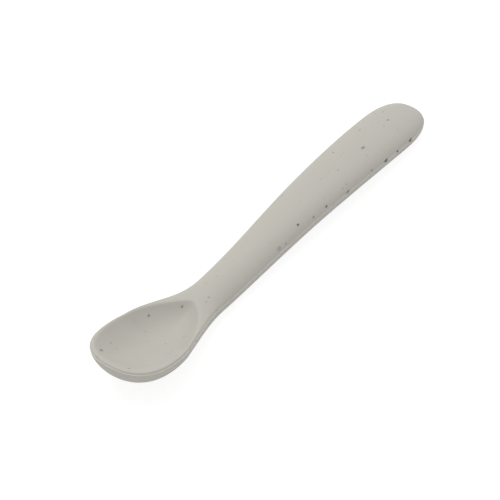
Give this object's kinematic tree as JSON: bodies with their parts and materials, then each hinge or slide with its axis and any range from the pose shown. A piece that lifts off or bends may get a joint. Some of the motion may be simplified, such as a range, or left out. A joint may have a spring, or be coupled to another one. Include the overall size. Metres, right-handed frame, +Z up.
{
  "type": "baby spoon",
  "caption": "Baby feeding spoon: egg-shaped hollow bowl, slim neck and broad domed handle, one soft body moulded over a hidden stiffening blade.",
  "frame": {"origin": "on the table, under the middle of the spoon's length", "axes": "+X from the bowl's tip to the handle's end, +Y across the spoon, +Z up; the spoon lies as it rests by itself, bowl open upwards"},
  "size_m": [0.15, 0.0252, 0.014],
  "materials": {
    "silicone": "matt silicone, warm light grey with small dark flecks",
    "blade": "moulded plastic, uncoloured"
  },
  "bodies": {
    "root": {"silicone_body": "silicone", "stiffening_blade": "blade"}
  },
  "joints": []
}
